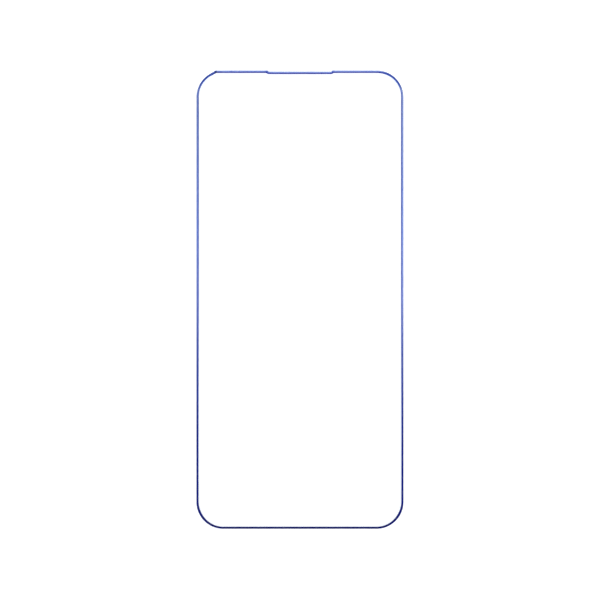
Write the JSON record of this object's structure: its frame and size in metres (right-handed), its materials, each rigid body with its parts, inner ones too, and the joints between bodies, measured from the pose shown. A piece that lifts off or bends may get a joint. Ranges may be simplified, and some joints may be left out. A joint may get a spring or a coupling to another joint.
{
  "type": "phone screen protector",
  "caption": "Thin clear tempered-glass sheet with rounded corners, a rounded ground edge and an earpiece relief, bonded over a phone's display to guard it.",
  "frame": {"origin": "middle of the bonding face, on its plane", "axes": "+X across the phone, +Y towards the earpiece end, +Z out of the front face"},
  "size_m": [0.0654, 0.145, 0.0003],
  "materials": {
    "clear_glass": "clear and polished, with a blue tint in the ground edge"
  },
  "bodies": {
    "root": {"protector_glass": "clear_glass"}
  },
  "joints": []
}
